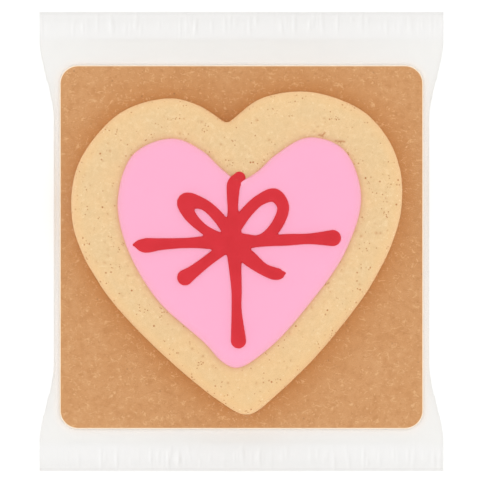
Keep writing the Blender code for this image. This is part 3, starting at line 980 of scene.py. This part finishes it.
def with_end_rows(grid, step):
    """The grid with its first and last rows repeated, moved outwards along the pack by step."""
    shift = np.array([0, step, 0]) if grid.ndim == 3 else 0
    return np.concatenate([grid[:1] - shift, grid, grid[-1:] + shift])


front, back = with_end_rows(front, SEAM_ROW), with_end_rows(back, SEAM_ROW)
sleeve = flat_tube("clear_sleeve", front, back, film, with_end_rows(haze, 0))

# %% [markdown]
# The crimping jaws press both layers of film together between ribbed bars. The ribs run along the
# pack and print unevenly: some are deep, many are faint and short. So each crimp is a fine even
# wave with a few dozen longer ridges of random place, width and length laid over it.

# %% The crimped ends
RIB_PITCH = 1.3 * MM
CRIMP_COLUMNS, CRIMP_ROWS = 560, 36


def crimp(name, side, seed):
    """Flat strip from the end of the sleeve's body to the pack's end. side is 1 or -1."""
    chance = np.random.default_rng(seed)
    start = body_half + 0.02 * MM
    rows = np.linspace(start + SEAM_ROW, half_length - SEAM_ROW, CRIMP_ROWS)
    along = side * np.concatenate([[start], rows, [half_length]])
    if side < 0:
        along = along[::-1]
    x = np.outer(half_width(along), np.linspace(-1, 1, CRIMP_COLUMNS))
    y = np.broadcast_to(along[:, None], x.shape)
    depth = (abs(y) - body_half) / SEAL_DEPTH
    pressed = smooth_step(0.04, 0.2, depth) * smooth_step(1.0, 0.85, depth)
    wave = 0.02 * MM * np.cos(2 * np.pi * x / RIB_PITCH) * pressed
    veil = 0.047 + 0.016 * smooth_step(0.4, 0.9, depth) + 0.028 * smooth_step(0.87, 0.92, depth)
    veil += 0.015 * smooth_step(0.97, 0.995, abs(x) / half_width(y))
    for _ in range(110):
        place, width = chance.uniform(-1, 1) * seal_half, chance.uniform(0.25, 0.45) * MM
        middle, reach = chance.uniform(0.35, 0.75), chance.uniform(0.1, 0.36)
        strength = chance.uniform(0.3, 1.0) ** 2
        window = np.exp(-(((depth - middle) / reach) ** 4))
        ridge = window * np.exp(-(((x - place) / width) ** 2))
        shade = window * np.exp(-(((x - place - 2.1 * width) / width) ** 2))
        wave += 0.045 * MM * strength * (ridge - 0.6 * shade)
        # Painted shade and highlight: the veil is denser beside each ridge and thinner on it.
        veil += strength * (0.018 * shade - 0.017 * ridge)
    edge = smooth_step(0, 0.02, 1 - abs(x) / half_width(y))
    low = SEAM_LOW + (wave + 0.10 * MM) * edge * pressed
    low = np.maximum(low, 0.03 * MM)
    front = np.stack([x, y, low + SEAM_HIGH - SEAM_LOW], axis=-1)
    back = np.stack([x, y, low], axis=-1)
    return flat_tube(name, front, back, crimped, np.clip(veil, 0.015, 0.3))


far_crimp = crimp("crimp_far_end", 1, 31)
near_crimp = crimp("crimp_near_end", -1, 32)

# %% [markdown]
# ## Who stands for what
#
# Every piece rides on the pack's only body and hides the CAD solid that it stands for.

# %% Tie the pieces to the frame
for piece, slot, node_name in (
    (card, "kraft_card", "card"),
    (cookie, "biscuit", "biscuit"),
    (icing, "pink_icing", "pink_icing"),
    (bow, "red_icing", "red_bow"),
    (sleeve, "film", "film_sleeve"),
    (far_crimp, "film", "film_sleeve"),
    (near_crimp, "film", "film_sleeve"),
):
    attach(piece, "root")
    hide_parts(node_name)

# %% [markdown]
# ## Floor, light and camera
#
# A pack shot is taken from straight above on white, in light so soft that shadows only gather
# where things touch. A white world gives that, and one large lamp overhead adds a little
# direction. The lens is very long, so the heights of the stack hardly change its outline.

# %% The floor
floor_finish, floor_shader = finish("white_sweep", 0.9)
floor_tone = between(floor_finish, noise(floor_finish, 0.4, 2), 0.3, 0.7, 0.0, 0.02)
paint(floor_finish, floor_shader, blend(floor_finish, floor_tone, (0.98, 0.98, 0.98), (0.95, 0.95, 0.95)))
floor_shader.inputs["Specular IOR Level"].default_value = 0.1
FLOOR_HALF = 4.0
floor_mesh = bpy.data.meshes.new("floor")
corners = [(-1, -1), (1, -1), (1, 1), (-1, 1)]
floor_mesh.from_pydata([(FLOOR_HALF * a, FLOOR_HALF * b, -0.02 * MM) for a, b in corners], [], [(0, 1, 2, 3)])
floor = placed("floor", floor_mesh, floor_finish)

# %% Light
HORIZON, ZENITH = 1.82, 0.63  # brightness of the tent's sides and of its roof
world = bpy.data.worlds.new("white_tent")
world.use_nodes = True
sky = world.node_tree.nodes["Background"]
sky.inputs["Color"].default_value = (1, 1, 1, 1)
direction = world.node_tree.nodes.new("ShaderNodeTexCoord").outputs["Generated"]
height = world.node_tree.nodes.new("ShaderNodeSeparateXYZ")
world.node_tree.links.new(direction, height.inputs[0])
climb = world.node_tree.nodes.new("ShaderNodeMapRange")
world.node_tree.links.new(height.outputs["Z"], climb.inputs["Value"])
climb.inputs["To Min"].default_value = HORIZON
climb.inputs["To Max"].default_value = ZENITH
world.node_tree.links.new(climb.outputs[0], sky.inputs["Strength"])
bpy.context.scene.world = world

lamp_data = bpy.data.lights.new("softbox", "AREA")
lamp_data.shape = "SQUARE"
lamp_data.size = 2.6
lamp_data.energy = 5.0
lamp = bpy.data.objects.new("softbox", lamp_data)
lamp.location = (0, 0, 1.5)
bpy.context.scene.collection.objects.link(lamp)

# %% Camera
LENS = 600
VIEW_WIDTH = 146.98 * MM  # what the picture takes in across the pack, at FOCUS_HEIGHT
FOCUS_HEIGHT = 1.5 * MM
camera_data = bpy.data.cameras.new("camera")
camera_data.lens = LENS
distance = VIEW_WIDTH * LENS / camera_data.sensor_width
camera = bpy.data.objects.new("camera", camera_data)
camera.location = (0, 0, distance + FOCUS_HEIGHT)
camera_data.clip_end = 20
bpy.context.scene.collection.objects.link(camera)
bpy.context.scene.camera = camera
bpy.context.scene.view_settings.view_transform = "Standard"
print("camera height, m:", round(distance, 2))
